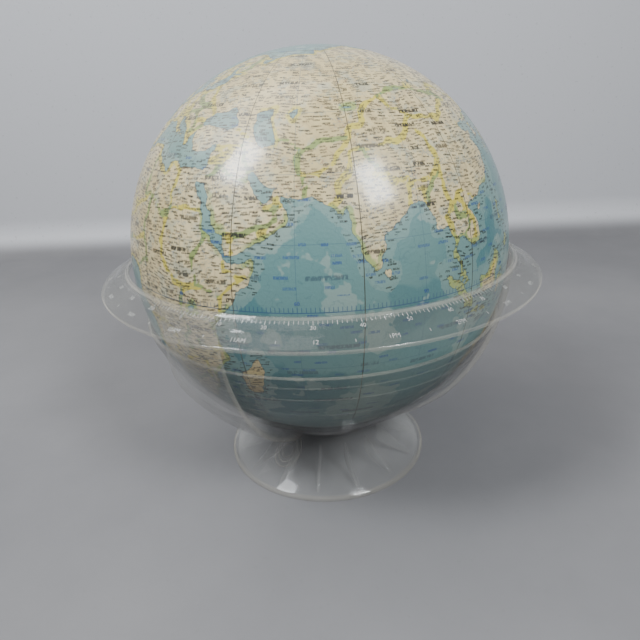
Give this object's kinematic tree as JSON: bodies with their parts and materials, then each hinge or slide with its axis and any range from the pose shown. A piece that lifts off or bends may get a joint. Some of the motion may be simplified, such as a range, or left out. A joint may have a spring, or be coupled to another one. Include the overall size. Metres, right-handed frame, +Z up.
{
  "type": "desk globe",
  "caption": "Hollow map globe lying loose in a clear cup under a clear scale brim, held by three bowed arms on a flared foot.",
  "frame": {"origin": "centre of the foot's rim, on the surface it stands on", "axes": "+Z up along the stand's and, at rest, the globe's polar axis; -Y is the front; +X is to the viewer's right"},
  "size_m": [0.356, 0.356, 0.3485],
  "materials": {
    "map_print": "glossy varnished print",
    "shell_board": "raw pressed board",
    "clear_plastic": "clear, slightly yellowed, polished"
  },
  "bodies": {
    "stand": {"horizon_ring": "clear_plastic", "cradle_cup": "clear_plastic", "cradle_hub": "clear_plastic", "cradle_arm_1": "clear_plastic", "cradle_arm_2": "clear_plastic", "cradle_arm_3": "clear_plastic", "foot_bell": "clear_plastic", "foot_rib_01": "clear_plastic", "foot_rib_02": "clear_plastic", "foot_rib_03": "clear_plastic", "foot_rib_04": "clear_plastic", "foot_rib_05": "clear_plastic", "foot_rib_06": "clear_plastic", "foot_rib_07": "clear_plastic", "foot_rib_08": "clear_plastic", "foot_rib_09": "clear_plastic", "foot_rib_10": "clear_plastic", "foot_rib_11": "clear_plastic", "foot_rib_12": "clear_plastic", "foot_rib_13": "clear_plastic", "foot_rib_14": "clear_plastic", "foot_rib_15": "clear_plastic"},
    "tilt_band": {"globe_joint_band": "shell_board"},
    "ball": {"globe_north_shell": "shell_board", "globe_south_shell": "shell_board", "map_gore_01": "map_print", "map_gore_02": "map_print", "map_gore_03": "map_print", "map_gore_04": "map_print", "map_gore_05": "map_print", "map_gore_06": "map_print", "map_gore_07": "map_print", "map_gore_08": "map_print", "map_gore_09": "map_print", "map_gore_10": "map_print", "map_gore_11": "map_print", "map_gore_12": "map_print", "north_polar_disc": "map_print", "south_polar_disc": "map_print"}
  },
  "joints": [
    {"name": "globe_tilt", "type": "hinge", "parent": "stand", "child": "tilt_band", "pos_m": [0, 0, 0.1961], "axis": [1, 0, 0], "continuous": true},
    {"name": "globe_spin", "type": "hinge", "parent": "tilt_band", "child": "ball", "pos_m": [0, 0, 0.1961], "axis": [0, 0, 1], "continuous": true}
  ]
}
